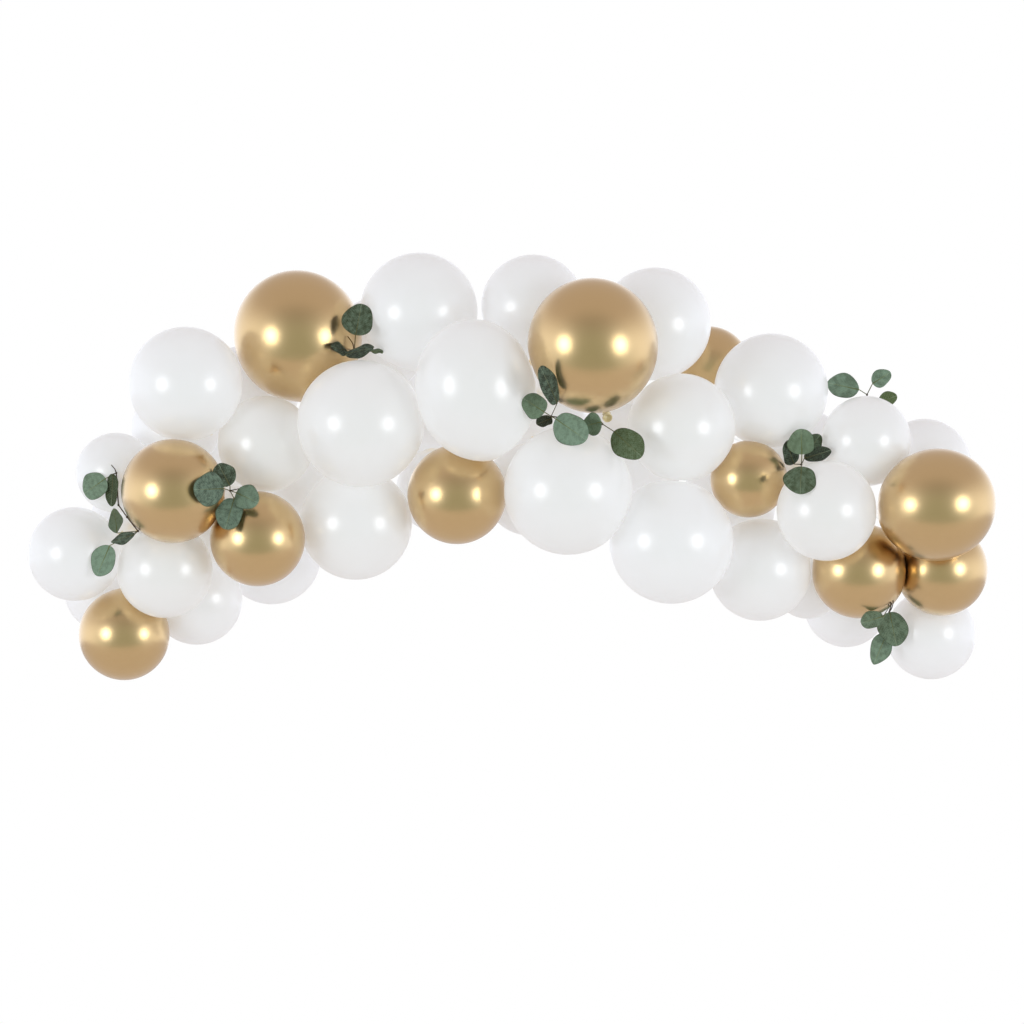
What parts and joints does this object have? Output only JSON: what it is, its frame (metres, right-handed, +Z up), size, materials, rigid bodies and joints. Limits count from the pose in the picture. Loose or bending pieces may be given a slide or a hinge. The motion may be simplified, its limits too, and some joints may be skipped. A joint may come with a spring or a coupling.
{
  "type": "balloon garland",
  "caption": "Shallow arched balloon garland of white and chrome gold balloons with eucalyptus sprigs, hung by its strip.",
  "frame": {"origin": "middle of the top face of the decorating strip's crown stretch, where the garland is hung", "axes": "+Z up, +X along the garland to the right as seen from the front, -Y is the front"},
  "size_m": [1.9322, 0.6375, 0.8548],
  "materials": {
    "white_latex": "pearly, softly glossy",
    "gold_chrome_latex": "chrome gold, satin metallic",
    "strip_plastic": "clear, glossy",
    "eucalyptus": "sage green, matt"
  },
  "bodies": {
    "root": {"white_balloon_01": "white_latex", "white_balloon_02": "white_latex", "gold_balloon_03": "gold_chrome_latex", "gold_balloon_04": "gold_chrome_latex", "white_balloon_05": "white_latex", "white_balloon_06": "white_latex", "white_balloon_07": "white_latex", "white_balloon_08": "white_latex", "white_balloon_09": "white_latex", "white_balloon_10": "white_latex", "gold_balloon_11": "gold_chrome_latex", "white_balloon_12": "white_latex", "gold_balloon_13": "gold_chrome_latex", "white_balloon_14": "white_latex", "white_balloon_15": "white_latex", "white_balloon_16": "white_latex", "white_balloon_17": "white_latex", "white_balloon_18": "white_latex", "gold_balloon_19": "gold_chrome_latex", "white_balloon_20": "white_latex", "gold_balloon_21": "gold_chrome_latex", "white_balloon_22": "white_latex", "gold_balloon_23": "gold_chrome_latex", "white_balloon_24": "white_latex", "white_balloon_25": "white_latex", "white_balloon_26": "white_latex", "white_balloon_27": "white_latex", "gold_balloon_28": "gold_chrome_latex", "white_balloon_29": "white_latex", "white_balloon_30": "white_latex", "white_balloon_31": "white_latex", "white_balloon_32": "white_latex", "gold_balloon_33": "gold_chrome_latex", "gold_balloon_34": "gold_chrome_latex", "gold_balloon_35": "gold_chrome_latex", "white_balloon_36": "white_latex", "white_balloon_37": "white_latex", "white_balloon_38": "white_latex", "white_balloon_39": "white_latex", "white_balloon_40": "white_latex", "white_balloon_41": "white_latex", "fill_balloon_42": "white_latex", "fill_balloon_43": "white_latex", "fill_balloon_44": "white_latex", "fill_balloon_45": "white_latex", "fill_balloon_46": "white_latex", "fill_balloon_47": "white_latex", "fill_balloon_48": "white_latex", "fill_balloon_49": "white_latex", "fill_balloon_50": "white_latex", "decorating_strip": "strip_plastic", "eucalyptus_sprig_left": "eucalyptus", "eucalyptus_sprig_mid_left": "eucalyptus", "eucalyptus_sprig_top_left": "eucalyptus", "eucalyptus_sprig_centre": "eucalyptus", "eucalyptus_sprig_right_top": "eucalyptus", "eucalyptus_sprig_right": "eucalyptus", "eucalyptus_sprig_low_right": "eucalyptus"}
  },
  "joints": []
}
